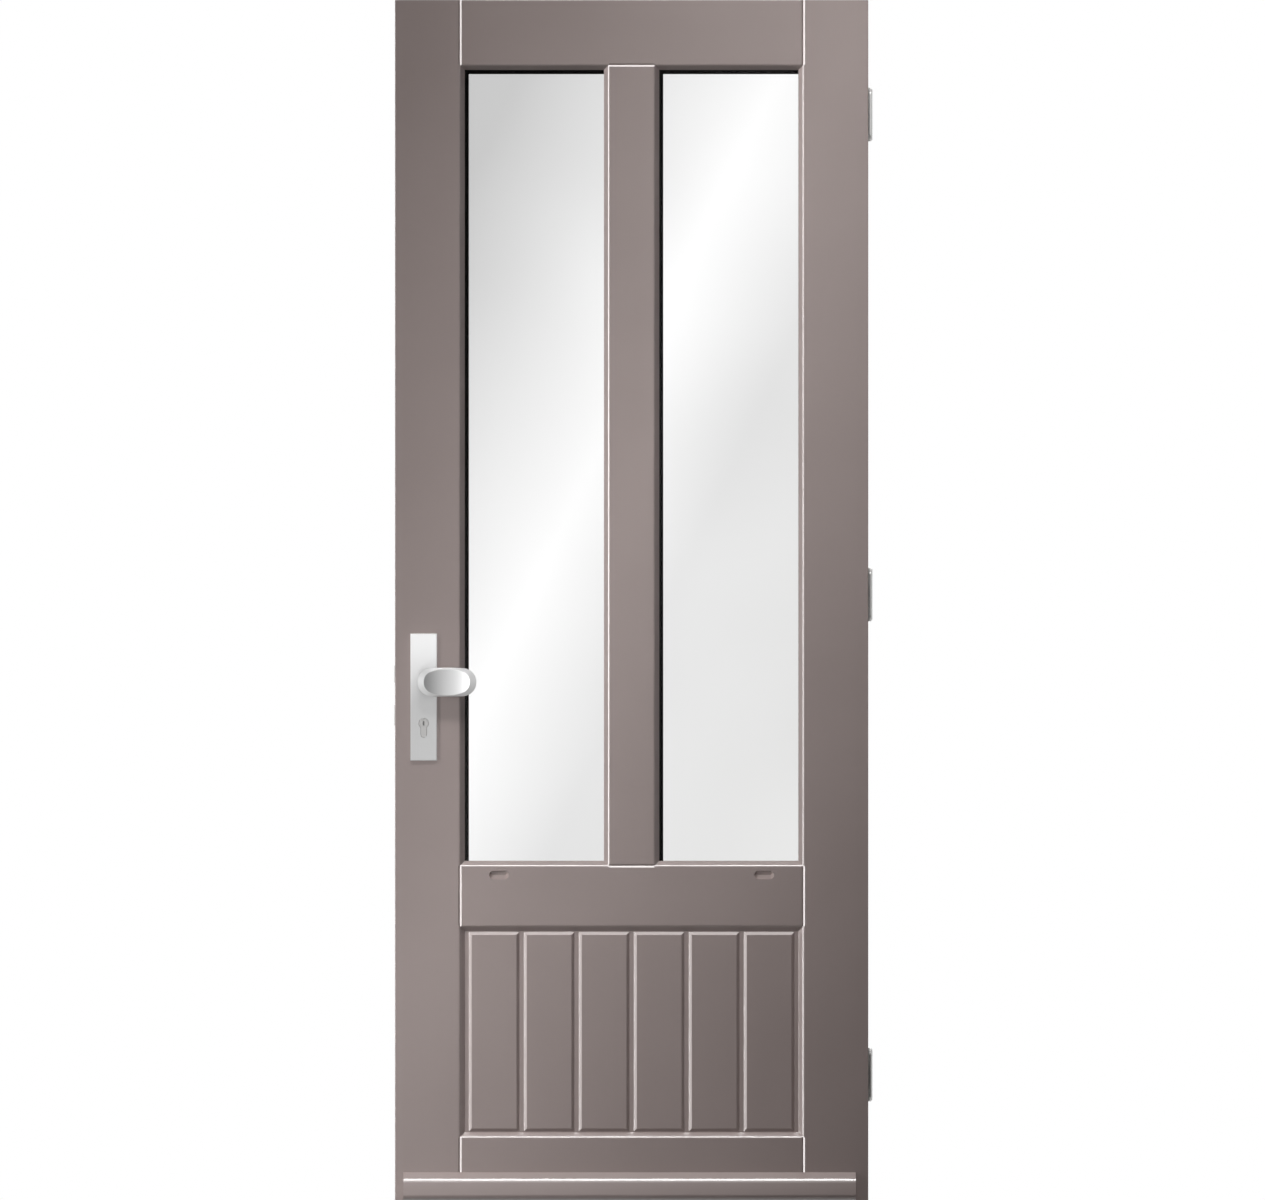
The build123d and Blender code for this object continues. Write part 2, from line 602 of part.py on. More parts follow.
def hinge_flap(z, x, own, bore, sink):
    """A hinge flap whose plate starts at x: its own knuckles, the pin bore and the screw holes."""
    low = z - HINGE_SIZE / 2
    edge = Plane(origin=(x, FACE_IN, 0), x_dir=(0, 1, 0), z_dir=(1, 0, 0))
    with BuildPart() as flap:
        with BuildSketch(edge) as outline:
            flap_outline(z, 0)
            fillet(outline.vertices().group_by(Axis.X)[0], FLAP_CORNER)
        extrude(amount=FLAP_THICK)
        for n in own:
            with BuildSketch(Plane.XY.offset(low + n * KNUCKLE + KNUCKLE_PLAY / 2)):
                with Locations((AXIS_X, AXIS_Y)):
                    Circle(BARREL_R)
                with Locations((x + FLAP_THICK / 2, (FACE_IN + AXIS_Y) / 2)):
                    Rectangle(FLAP_THICK, AXIS_Y - FACE_IN)
            extrude(amount=KNUCKLE - KNUCKLE_PLAY)
        with BuildSketch(Plane.XY.offset(low)):
            with Locations((AXIS_X, AXIS_Y)):
                Circle(PIN_R + bore)
        extrude(amount=HINGE_SIZE, mode=Mode.SUBTRACT)
        screws = Plane(origin=(sink, FACE_IN - FLAP_SEAT / 2, z), x_dir=(0, 1, 0),
                       z_dir=(1 if sink > x else -1, 0, 0))
        with Locations(screws):
            with GridLocations(SCREW_COLUMNS, SCREW_ROWS, 2, 2):
                CounterSinkHole(SCREW_R, SCREW_HEAD_R, FLAP_THICK, SINK_ANGLE)
    return flap.part


def hinge_pin(z):
    """A hinge pin with a round cap on each end."""
    with BuildPart() as pin:
        with BuildSketch(Plane.XY.offset(z - HINGE_SIZE / 2)):
            with Locations((AXIS_X, AXIS_Y)):
                Circle(PIN_R)
        extrude(amount=HINGE_SIZE)
        for end, way in ((z - HINGE_SIZE / 2, -1), (z + HINGE_SIZE / 2, 1)):
            with BuildSketch(Plane.XY.offset(end)):
                with Locations((AXIS_X, AXIS_Y)):
                    Circle(PIN_CAP_R)
            extrude(amount=way * PIN_CAP)
            cap = pin.faces().sort_by(Axis.Z)[-1 if way > 0 else 0]
            fillet(cap.edges(), PIN_CAP_EDGE)
    return pin.part


FRAME_KNUCKLES = range(0, KNUCKLES, 2)
LEAF_KNUCKLES = range(1, KNUCKLES, 2)
for place, z in HINGES.items():
    pieces[f"{place}_frame_flap"] = hinge_flap(z, -FLAP_THICK, FRAME_KNUCKLES, PIN_SEAT, -FLAP_THICK)
    pieces[f"{place}_leaf_flap"] = hinge_flap(z, LEAF_RIGHT - FLAP_THICK, LEAF_KNUCKLES, PIN_FIT, LEAF_RIGHT)
    pieces[f"{place}_hinge_pin"] = hinge_pin(z)

# Name and write every piece
pieces["lock_stile"] = lock_stile.part
pieces["hinge_stile"] = hinge_stile.part
pieces["top_rail"] = top_rail.part
pieces["mid_rail"] = mid_rail.part
pieces["bottom_rail"] = bottom_rail.part
pieces["muntin"] = muntin.part
pieces["lower_panel"] = lower_panel.part
pieces["panel_beads"] = beads(PANEL_SIGHT)
pieces["weather_bar"] = weather_bar.part
pieces["outside_plate"] = outside_plate.part
pieces["knob"] = knob.part
pieces["cylinder"] = cylinder.part
pieces["key_plug"] = key_plug.part
pieces["inside_plate"] = inside_plate.part
pieces["inside_lever"] = inside_lever.part
pieces["lock_faceplate"] = lock_faceplate.part
pieces["latch_bolt"] = latch_bolt.part
pieces["dead_bolt"] = dead_bolt.part
for name, piece in pieces.items():
    piece.label = name
    export_step(piece, f"parts/{name}.step")
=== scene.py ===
"""Looks of a painted front door leaf.

Gives its solids their finishes, adds the screws in its ironwork, and sets up the studio round it.
"""

import logging
import math
from dataclasses import dataclass, field
from enum import Enum
from typing import Any, Mapping, Optional, Sequence, Union

import bpy
import numpy as np
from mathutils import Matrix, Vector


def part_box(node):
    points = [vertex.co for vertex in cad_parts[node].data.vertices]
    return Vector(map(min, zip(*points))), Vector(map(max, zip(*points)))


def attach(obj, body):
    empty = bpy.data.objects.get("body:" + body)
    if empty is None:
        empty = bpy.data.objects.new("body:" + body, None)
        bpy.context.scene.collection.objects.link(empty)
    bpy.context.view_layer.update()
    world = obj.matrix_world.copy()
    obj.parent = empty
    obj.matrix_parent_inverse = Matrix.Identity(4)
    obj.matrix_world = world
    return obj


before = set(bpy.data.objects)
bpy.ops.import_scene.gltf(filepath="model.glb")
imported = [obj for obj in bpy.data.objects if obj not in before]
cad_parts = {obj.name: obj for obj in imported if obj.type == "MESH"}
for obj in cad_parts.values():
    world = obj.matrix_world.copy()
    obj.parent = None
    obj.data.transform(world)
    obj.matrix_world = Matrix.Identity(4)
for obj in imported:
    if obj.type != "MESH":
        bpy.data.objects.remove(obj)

LOG = logging.getLogger("front_door")
MM = 0.001
LEAF_BODY = "leaf"
NOISE_LOW, NOISE_HIGH = 0.3, 0.7
SHARP_EDGE_DEG = 35.0

Key = Union[str, int]
Points = np.ndarray
Direction = tuple[float, float, float]
Stops = Sequence[tuple[float, str]]
Tree = bpy.types.NodeTree
Socket = bpy.types.NodeSocket
Material = bpy.types.Material


class Run(Enum):
    """The way a timber's grain or a metal's polish runs, as the axis of the row frame that it follows."""

    ACROSS = 0
    THROUGH = 1
    UPRIGHT = 2

    def stretch(self, across: float, along: float) -> Direction:
        """Scales a pattern so that it is fine across the run and long beside it.

        Args:
            across: size of the pattern across the run, in metres.
            along: size of the pattern along the run, in metres.

        Returns:
            Scale factors for X, Y and Z, in features per metre.
        """
        scale = [1 / across] * 3
        scale[self.value] = 1 / along
        return tuple(scale)


def linear(colour: str, alpha: float = 1.0) -> tuple[float, float, float, float]:
    """Turns an sRGB hex colour into linear light.

    Args:
        colour: six hex digits after a hash sign.
        alpha: opacity to carry along.

    Returns:
        Red, green, blue and alpha.
    """
    shares = [int(colour[i:i + 2], 16) / 255 for i in (1, 3, 5)]
    light = [c / 12.92 if c <= 0.04045 else ((c + 0.055) / 1.055) ** 2.4 for c in shares]
    return (light[0], light[1], light[2], alpha)


def node(tree: Tree, kind: str, settings: Optional[Mapping[Key, Any]] = None,
         links: Optional[Mapping[Key, Socket]] = None) -> bpy.types.Node:
    """Adds one node.

    Args:
        tree: node tree that gets the node.
        kind: Blender's type name of the node.
        settings: values by socket name, socket number or property name.
        links: sockets that feed the node, by socket name or number.

    Returns:
        The new node.
    """
    made = tree.nodes.new(kind)
    for key, value in (settings or {}).items():
        if isinstance(key, int) or key in made.inputs:
            made.inputs[key].default_value = value
        else:
            setattr(made, key, value)
    for key, source in (links or {}).items():
        tree.links.new(source, made.inputs[key])
    return made


def ramp(tree: Tree, factor: Socket, stops: Stops, ease: str = "LINEAR") -> Socket:
    """Adds a colour ramp and gives its colour socket.

    Args:
        tree: node tree that gets the ramp.
        factor: socket that drives it.
        stops: places from 0 to 1 with their hex colours, in order.
        ease: Blender's name of the interpolation.

    Returns:
        The ramp's colour output.
    """
    made = node(tree, "ShaderNodeValToRGB", links={"Fac": factor})
    bar = made.color_ramp
    bar.interpolation = ease
    while len(bar.elements) < len(stops):
        bar.elements.new(0.5)
    for stop, (place, colour) in zip(bar.elements, stops):
        stop.position = place
        stop.color = linear(colour)
    return made.outputs["Color"]


def blank(name: str) -> tuple[Material, Tree, bpy.types.Node, Socket]:
    """Starts a material.

    Args:
        name: the material's name.

    Returns:
        The material, its node tree, its Principled shader and its Object coordinates.
    """
    made = bpy.data.materials.new(name)
    made.use_nodes = True
    tree = made.node_tree
    tree.nodes.clear()
    shader = node(tree, "ShaderNodeBsdfPrincipled")
    node(tree, "ShaderNodeOutputMaterial", links={"Surface": shader.outputs["BSDF"]})
    coords = node(tree, "ShaderNodeTexCoord")
    return made, tree, shader, coords.outputs["Object"]


def noise(tree: Tree, coords: Socket, scale: Sequence[float],
          detail: float = 2.0) -> Socket:
    """Adds a noise that is stretched along the axes.

    Args:
        tree: node tree that gets the noise.
        coords: coordinates in metres.
        scale: features per metre on X, Y and Z.
        detail: octaves of finer noise.

    Returns:
        The noise's value, about 0 to 1.
    """
    mapped = node(tree, "ShaderNodeMapping", {"Scale": scale}, {"Vector": coords})
    made = node(tree, "ShaderNodeTexNoise", {"Scale": 1.0, "Detail": detail},
                {"Vector": mapped.outputs["Vector"]})
    return made.outputs["Fac"]


def even(size: float) -> Direction:
    """Scale factors of a pattern that has the same size in metres every way."""
    return (1 / size, 1 / size, 1 / size)


def mottle(tree: Tree, value: Socket, low: str, high: str) -> Socket:
    """Adds a colour that runs between two hex tones over the middle of a noise."""
    return ramp(tree, value, [(NOISE_LOW, low), (NOISE_HIGH, high)])


def spread(tree: Tree, value: Socket, low: float, high: float) -> Socket:
    """Adds a map from the middle of a noise to a range.

    Args:
        tree: node tree that gets the map.
        value: noise to map.
        low: result at a low value.
        high: result at a high value.

    Returns:
        The mapped value.
    """
    made = node(tree, "ShaderNodeMapRange",
                {"From Min": NOISE_LOW, "From Max": NOISE_HIGH, "To Min": low, "To Max": high}, {"Value": value})
    return made.outputs["Result"]


def bumps(tree: Tree, layers: Sequence[tuple[Socket, float]]) -> Socket:
    """Adds bump layers on top of each other.

    Args:
        tree: node tree that gets the layers.
        layers: heights from 0 to 1, each with its depth in metres.

    Returns:
        The normal after the last layer.
    """
    normal = None
    for height, depth in layers:
        links = {"Height": height}
        if normal is not None:
            links["Normal"] = normal
        normal = node(tree, "ShaderNodeBump", {"Strength": 1.0, "Distance": depth}, links).outputs["Normal"]
    return normal


@dataclass(frozen=True)
class SatinPaint:
    """Satin alkyd paint sprayed on planed hardwood.

    The eye gets a soft even colour with a broad sheen, a trace of the grain under it and faint orange peel.
    """

    run: Run
    tone: str = "#857875"
    cool: str = "#817471"
    grain_mm: tuple[float, float] = (5.0, 160.0)
    peel_mm: float = 3.0
    cloud_mm: float = 260.0
    cloud_reach: tuple[float, float] = (0.35, 0.65)
    rough: tuple[float, float] = (0.36, 0.44)
    grain_deep_mm: float = 0.05
    peel_deep_mm: float = 0.012
    ior: float = 1.5
    coat: float = 0.8
    coat_rough: float = 0.3

    def build(self) -> Material:
        """Builds the paint over timber of this run."""
        made, tree, shader, coords = blank(f"satin_paint_{self.run.name.lower()}")
        cloud = noise(tree, coords, even(self.cloud_mm * MM), detail=3.0)
        grain = noise(tree, coords, self.run.stretch(*(size * MM for size in self.grain_mm)), detail=4.0)
        peel = noise(tree, coords, even(self.peel_mm * MM), detail=1.0)
        colour = ramp(tree, cloud, list(zip(self.cloud_reach, (self.cool, self.tone))))
        tree.links.new(colour, shader.inputs["Base Color"])
        tree.links.new(spread(tree, grain, *self.rough), shader.inputs["Roughness"])
        normal = bumps(tree, [(grain, self.grain_deep_mm * MM), (peel, self.peel_deep_mm * MM)])
        tree.links.new(normal, shader.inputs["Normal"])
        shader.inputs["IOR"].default_value = self.ior
        shader.inputs["Coat Weight"].default_value = self.coat
        shader.inputs["Coat Roughness"].default_value = self.coat_rough
        return made


@dataclass(frozen=True)
class FloatGlass:
    """Float glass of a double glazing unit.

    The eye gets clear glass with the slow waviness of the float line. Its index is under the usual 1.5, so that
    the four faces of a unit mirror as little as the door's panes do.
    """

    name: str
    tint: str = "#f7f7f7"
    deep: str = "#f3f3f3"
    ior: float = 1.2
    wave_mm: float = 420.0
    wave_deep_mm: float = 0.02

    def build(self) -> Material:
        """Builds the glass of one pane."""
        made, tree, shader, coords = blank(self.name)
        wave = noise(tree, coords, even(self.wave_mm * MM), detail=1.0)
        tree.links.new(mottle(tree, wave, self.deep, self.tint), shader.inputs["Base Color"])
        tree.links.new(bumps(tree, [(wave, self.wave_deep_mm * MM)]), shader.inputs["Normal"])
        shader.inputs["Roughness"].default_value = 0.0
        shader.inputs["IOR"].default_value = self.ior
        shader.inputs["Transmission Weight"].default_value = 1.0
        return made


@dataclass(frozen=True)
class BlackRubber:
    """Black butyl or foam rubber, extruded or laid by a nozzle.

    The eye gets a deep matt black with a fine skin and slightly paler streaks along the strip.
    """

    name: str
    tone: str = "#1a1a18"
    pale: str = "#222220"
    pore_mm: float = 1.4
    pore_deep_mm: float = 0.08
    streak_mm: float = 40.0
    streak_reach: tuple[float, float] = (0.35, 0.7)
    rough: float = 0.7
    ior: float = 1.5

    def build(self) -> Material:
        """Builds the rubber of one strip."""
        made, tree, shader, coords = blank(self.name)
        pores = noise(tree, coords, even(self.pore_mm * MM), detail=3.0)
        streak = noise(tree, coords, even(self.streak_mm * MM), detail=2.0)
        colour = ramp(tree, streak, list(zip(self.streak_reach, (self.tone, self.pale))))
        tree.links.new(colour, shader.inputs["Base Color"])
        tree.links.new(bumps(tree, [(pores, self.pore_deep_mm * MM)]), shader.inputs["Normal"])
        shader.inputs["Roughness"].default_value = self.rough
        shader.inputs["IOR"].default_value = self.ior
        return made


@dataclass(frozen=True)
class SatinAluminium:
    """Cast and extruded aluminium, blasted and anodised in its natural colour.

    The eye gets a pale silky grey with a very fine upright polish. Its colour carries painted shade: greyer
    towards the foot of a plate, and on the face of a knob darker at its inner end and lighter at its free end,
    where light falls on the dished face.
    """

    name: str
    foot: float
    head: float
    tone: str = "#f1f1f1"
    foot_shade: str = "#bfbfbf"
    foot_shade_to: float = 0.35
    polish_mm: tuple[float, float] = (0.9, 60.0)
    polish_deep_mm: float = 0.004
    grit_mm: float = 1.1
    grit_deep_mm: float = 0.006
    rough: tuple[float, float] = (0.43, 0.5)
    # painted shade of the knob's dished face: its span across, its tones from inner to free end, and the facing
    # that gets it
    dish_shade_span: Optional[tuple[float, float]] = None
    dish_shade_tones: Stops = ((0.11, "#969696"), (0.55, "#c9c9c9"), (0.89, "#e0e0e0"))
    dish_shade_facing: tuple[float, float] = (-0.85, -0.94)

    def dish_shaded(self, tree: Tree, coords: Socket, colour: Socket) -> Socket:
        """Paints shade on the knob's dished face, darkest at its inner end and least at its free end.

        Args:
            tree: node tree of the metal.
            coords: place in the row frame, in metres.
            colour: tone of the metal elsewhere.

        Returns:
            The tone, changed only where the surface faces outdoors.
        """
        across = node(tree, "ShaderNodeSeparateXYZ", links={"Vector": coords}).outputs["X"]
        inner, free = self.dish_shade_span
        place = node(tree, "ShaderNodeMapRange", {"From Min": inner, "From Max": free}, {"Value": across})
        # painted shade across the dish, standing in for light falling on the hollow
        dish_shade_tone = ramp(tree, place.outputs["Result"], self.dish_shade_tones)
        normal = coords.node.outputs["Normal"]
        facing = node(tree, "ShaderNodeSeparateXYZ", links={"Vector": normal}).outputs["Y"]
        none, whole = self.dish_shade_facing
        share = node(tree, "ShaderNodeMapRange", {"From Min": none, "From Max": whole}, {"Value": facing})
        mixed = node(tree, "ShaderNodeMixRGB",
                     links={"Fac": share.outputs["Result"], "Color1": colour, "Color2": dish_shade_tone})
        return mixed.outputs["Color"]

    def build(self) -> Material:
        """Builds the anodised metal, its tone led from painted shade at the foot to full tone at head height in
        metres.
        """
        made, tree, shader, coords = blank(self.name)
        height = node(tree, "ShaderNodeSeparateXYZ", links={"Vector": coords}).outputs["Z"]
        place = node(tree, "ShaderNodeMapRange", {"From Min": self.foot, "From Max": self.head},
                     {"Value": height})
        # painted shade: the tone darkens towards the foot, as if light fell from above
        stops = [(0.0, self.foot_shade), (self.foot_shade_to, self.foot_shade), (1.0, self.tone)]
        colour = ramp(tree, place.outputs["Result"], stops, "EASE")
        if self.dish_shade_span:
            colour = self.dish_shaded(tree, coords, colour)
        polish = noise(tree, coords, Run.UPRIGHT.stretch(*(size * MM for size in self.polish_mm)), detail=2.0)
        grit = noise(tree, coords, even(self.grit_mm * MM), detail=2.0)
        tree.links.new(colour, shader.inputs["Base Color"])
        tree.links.new(spread(tree, polish, *self.rough), shader.inputs["Roughness"])
        normal = bumps(tree, [(polish, self.polish_deep_mm * MM), (grit, self.grit_deep_mm * MM)])
        tree.links.new(normal, shader.inputs["Normal"])
        shader.inputs["Metallic"].default_value = 1.0
        return made


@dataclass(frozen=True)
class BrushedSteel:
    """Stainless steel strip, brushed along its length.

    The eye gets a bright grey with fine lines that run one way and a soft streaked shine.
    """

    name: str
    run: Run
    tone: str = "#d9d8d5"
    shade: str = "#c3c2bf"
    line_mm: tuple[float, float] = (0.7, 45.0)
    line_deep_mm: float = 0.006
    rough: tuple[float, float] = (0.26, 0.36)
    metal: float = 1.0

    def build(self) -> Material:
        """Builds the brushed steel of one fitting."""
        made, tree, shader, coords = blank(self.name)
        lines = noise(tree, coords, self.run.stretch(*(size * MM for size in self.line_mm)), detail=3.0)
        tree.links.new(mottle(tree, lines, self.shade, self.tone), shader.inputs["Base Color"])
        tree.links.new(spread(tree, lines, *self.rough), shader.inputs["Roughness"])
        tree.links.new(bumps(tree, [(lines, self.line_deep_mm * MM)]), shader.inputs["Normal"])
        shader.inputs["Metallic"].default_value = self.metal
        return made


@dataclass(frozen=True)
class NickelPlate:
    """Turned brass, nickel plated and satin finished.

    The eye gets a slightly warm grey, a little duller and darker than the anodised furniture round it.
    """

    tone: str = "#b6b5b4"
    shade: str = "#aaa9a8"
    turn_mm: tuple[float, float] = (0.8, 20.0)
    turn_deep_mm: float = 0.005
    rough: tuple[float, float] = (0.3, 0.42)

    def build(self) -> Material:
        """Builds the plated metal of the key cylinder."""
        made, tree, shader, coords = blank("satin_nickel_plate")
        turned = noise(tree, coords, Run.THROUGH.stretch(*(size * MM for size in self.turn_mm)), detail=3.0)
        tree.links.new(mottle(tree, turned, self.shade, self.tone), shader.inputs["Base Color"])
        tree.links.new(spread(tree, turned, *self.rough), shader.inputs["Roughness"])
        tree.links.new(bumps(tree, [(turned, self.turn_deep_mm * MM)]), shader.inputs["Normal"])
        shader.inputs["Metallic"].default_value = 1.0
        return made


def dress(names: Sequence[str], finish: Material) -> None:
    """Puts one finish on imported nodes.

    Args:
        names: the nodes' names.
        finish: material for every slot of them.
    """
    for name in names:
        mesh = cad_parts[name].data
        mesh.materials.clear()
        mesh.materials.append(finish)
        LOG.info("%s: %s", name, finish.name)


def smoothstep(value: Points) -> Points:
    """Eases 0 to 1 as 3t^2 - 2t^3, flat outside that range."""
    t = np.clip(value, 0, 1)
    return t * t * (3 - 2 * t)


def sheet_mesh(name: str, grid: Points) -> bpy.types.Mesh:
    """Makes a mesh from an open grid of points.

    Args:
        name: the mesh's name.
        grid: points by row and column, shape (rows, columns, 3), in metres.

    Returns:
        A mesh of quads, one between each four neighbours.
    """
    rows, columns = grid.shape[:2]
    index = np.arange(rows * columns).reshape(rows, columns)
    quads = np.stack([index[:-1, :-1], index[:-1, 1:], index[1:, 1:], index[1:, :-1]], -1).reshape(-1, 4)
    made = bpy.data.meshes.new(name)
    made.from_pydata(grid.reshape(-1, 3).tolist(), [], quads.tolist())
    made.validate()
    return made


def turned_mesh(name: str, shells: Sequence[Points]) -> bpy.types.Mesh:
    """Makes one mesh from closed turned shapes.

    Each shape is a grid whose columns close on themselves and whose first and last rows are poles.

    Args:
        name: the mesh's name.
        shells: grids of points, shape (rings, steps, 3), in metres.

    Returns:
        A mesh of quads with a fan of triangles at each pole.
    """
    points: list[Points] = []
    faces: list[list[int]] = []
    start = 0
    for shell in shells:
        rings, steps = shell.shape[:2]
        body = shell[1:-1].reshape(-1, 3)
        index = start + np.arange((rings - 2) * steps).reshape(rings - 2, steps)
        after = np.roll(index, -1, axis=1)
        first, last = start + len(body), start + len(body) + 1
        quads = np.stack([index[:-1], index[1:], after[1:], after[:-1]], -1).reshape(-1, 4)
        top = np.stack([np.full(steps, first), index[0], after[0]], -1)
        foot = np.stack([np.full(steps, last), after[-1], index[-1]], -1)
        points += [body, shell[0, :1], shell[-1, :1]]
        faces += quads.tolist() + top.tolist() + foot.tolist()
        start = last + 1
    made = bpy.data.meshes.new(name)
    made.from_pydata(np.concatenate(points).tolist(), [], faces)
    made.validate()
    made.shade_smooth()
    made.set_sharp_from_angle(angle=math.radians(SHARP_EDGE_DEG))
    return made


def add_piece(mesh: bpy.types.Mesh, finish: Material) -> bpy.types.Object:
    """Adds a new piece of the object that rides on the leaf.

    Args:
        mesh: its mesh, in the row frame.
        finish: its material.

    Returns:
        The piece.
    """
    piece = bpy.data.objects.new(mesh.name, mesh)
    bpy.context.scene.collection.objects.link(piece)
    mesh.materials.append(finish)
    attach(piece, LEAF_BODY)
    LOG.info("%s: %d faces", piece.name, len(mesh.polygons))
    return piece


@dataclass
class Screw:
    """A screw head with a cross recess, sizes in metres."""

    head: float
    shank: float
    deep: float
    crown: float = 0.0
    recess: float = 1.5 * MM
    arm: float = 2.6 * MM
    arm_half: float = 0.5 * MM
    edge: float = 0.3 * MM
    steps: int = 72
    rings: int = 26

    def shell(self, place: Points, out: Points, up: Points) -> Points:
        """Works out the screw as a surface of ring and turn.

        Over the head the height is crown * (1 - (r / head)^2) less the recess, which is
        S((arm_half - m) / edge) * S((arm - M) / edge) * depth, where m and M are the smaller and the larger of
        |x| and |y| on the head and S is the smooth step. Below it a cone runs at 45 degrees to the shank.

        Args:
            place: middle of the head's rim, in the row frame.
            out: unit vector that the head faces.
            up: unit vector of the first arm of the recess.

        Returns:
            Points by ring and turn, shape (rings, steps, 3), with a pole at each end.
        """
        turn = np.linspace(0, 2 * math.pi, self.steps, endpoint=False)[None, :]
        radius = np.linspace(0, self.head, self.rings)[:, None]
        x, y = radius * np.cos(turn), radius * np.sin(turn)
        small, large = np.minimum(abs(x), abs(y)), np.maximum(abs(x), abs(y))
        cross = smoothstep((self.arm_half - small) / self.edge) * smoothstep((self.arm - large) / self.edge)
        height = self.crown * (1 - (radius / self.head) ** 2) - cross * self.recess
        sides = np.array([[self.shank, self.shank - self.head], [self.shank, -self.deep], [0, -self.deep]])
        x = np.concatenate([x, sides[:, :1] * np.cos(turn)])
        y = np.concatenate([y, sides[:, :1] * np.sin(turn)])
        height = np.concatenate([height, np.repeat(sides[:, 1:], self.steps, axis=1)])
        beside = np.cross(up, out)
        return place + x[..., None] * up + y[..., None] * -beside + height[..., None] * out


@dataclass
class TimberFrame:
    """Stiles, rails, muntin, panel, beads and weather bar, all under one paint."""

    upright: tuple[str, ...] = (
        "lock_stile", "hinge_stile", "muntin", "lower_panel", "left_beads", "right_beads")
    across: tuple[str, ...] = ("top_rail", "mid_rail", "bottom_rail", "panel_beads", "weather_bar")

    def dress(self) -> None:
        """Paints each member with the grain of its timber."""
        dress(self.upright, SatinPaint(Run.UPRIGHT).build())
        dress(self.across, SatinPaint(Run.ACROSS).build())


@dataclass
class Glazing:
    """The two double glazing units with their dark edges and tapes."""

    sides: tuple[str, ...] = ("left", "right")

    def dress(self) -> None:
        """Gives each layer of both units its finish."""
        layers = {
            "outer_pane": FloatGlass("clear_float_glass"),
            "inner_pane": FloatGlass("coated_float_glass"),
            "edge_seal": BlackRubber("black_butyl_seal", tone="#191918", pale="#201f1e"),
            "glazing_tapes": BlackRubber("black_foam_tape", rough=0.9),
        }
        for layer, finish in layers.items():
            dress([f"{side}_{layer}" for side in self.sides], finish.build())


@dataclass
class LockSet:
    """Plates, knob, lever, key cylinder and lock edge, with the screws that hold them."""

    bolt: Screw = field(default_factory=lambda: Screw(4.2 * MM, 3.0 * MM, deep=0.0, crown=1.6 * MM))
    bolt_rise: float = 92 * MM
    edge_screw: Screw = field(default_factory=lambda: Screw(4.4 * MM, 2.7 * MM, deep=2.9 * MM))
    edge_rise: float = 105.5 * MM

    def dress(self) -> None:
        """Gives the furniture, the cylinder and the lock edge their metals."""
        low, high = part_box("outside_plate")
        # the plates' metal darkens towards its foot: painted shade
        aluminium = SatinAluminium("satin_anodised_aluminium", low.z, high.z).build()
        dress(["outside_plate", "inside_plate", "inside_lever"], aluminium)
        inner, free = (corner.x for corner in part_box("knob"))
        # the knob's face carries painted shade, dark at its inner end and light at its free end
        dish_shaded = SatinAluminium("dish_shaded_anodised_aluminium", low.z, high.z, dish_shade_span=(inner, free))
        dress(["knob"], dish_shaded.build())
        dress(["cylinder", "key_plug"], NickelPlate().build())
        self.steel = BrushedSteel("brushed_lock_steel", Run.UPRIGHT).build()
        dress(["lock_faceplate", "latch_bolt", "dead_bolt"], self.steel)

    def build(self) -> None:
        """Adds the faceplate's screws and the heads of the plates' through bolts."""
        low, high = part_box("lock_faceplate")
        middle = np.array((low + high) / 2)
        up = np.array([0.0, 0.0, 1.0])
        out = np.array([-1.0, 0.0, 0.0])
        edge = np.array([low.x, middle[1], middle[2]])
        screws = [self.edge_screw.shell(edge + rise * up, out, up)
                  for rise in (-self.edge_rise, self.edge_rise)]
        add_piece(turned_mesh("faceplate_screws", screws), self.steel)
        low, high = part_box("inside_plate")
        face = np.array([(low.x + high.x) / 2, high.y, (low.z + high.z) / 2])
        room = np.array([0.0, 1.0, 0.0])
        heads = [self.bolt.shell(face + rise * up, room, up) for rise in (-self.bolt_rise, self.bolt_rise)]
        add_piece(turned_mesh("plate_bolt_heads", heads), self.steel)


@dataclass
class Hinges:
    """Three butt hinges, with the wood screws in their leaf flaps."""

    places: tuple[str, ...] = ("bottom", "middle", "top")
    screw: Screw = field(default_factory=lambda: Screw(4.4 * MM, 2.7 * MM, deep=2.4 * MM))
    column: float = 10 * MM
    row: float = 29 * MM

    def dress(self) -> None:
        """Gives the flaps and pins their steel."""
        zinc = BrushedSteel("satin_zinc_plate", Run.UPRIGHT, tone="#f0f0ee", shade="#e6e6e4", metal=0.4)
        self.steel = zinc.build()
        for place in self.places:
            dress([f"{place}_leaf_flap", f"{place}_frame_flap", f"{place}_hinge_pin"], self.steel)

    def build(self) -> None:
        """Adds four countersunk screws to each leaf flap, flush with the leaf's hinge edge."""
        out, inwards, up = np.eye(3)
        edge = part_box("hinge_stile")[1].x
        for place in self.places:
            low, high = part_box(f"{place}_leaf_flap")
            centre = np.array([edge, 0.0, (low.z + high.z) / 2])
            shells = [self.screw.shell(centre + y * inwards + z * up, out, up)
                      for y in (-self.column, self.column) for z in (-self.row, self.row)]
            add_piece(turned_mesh(f"{place}_flap_screws", shells), self.steel)


@dataclass(frozen=True)
class SoftLamp:
    """A square soft lamp aimed at the middle of the leaf.

    Its direction points from the leaf to the lamp, its size is a side in metres, and at level 1 a surface that
    faces it shows a colour as it is written. A graded screen may stand before it.
    """

    name: str
    towards: Direction
    size: float
    level: float
    screened: bool


@dataclass(frozen=True)
class RakingLamp:
    """A far lamp that rakes the leaf's face, with its direction and level as a soft lamp has them."""

    name: str
    towards: Direction
    level: float


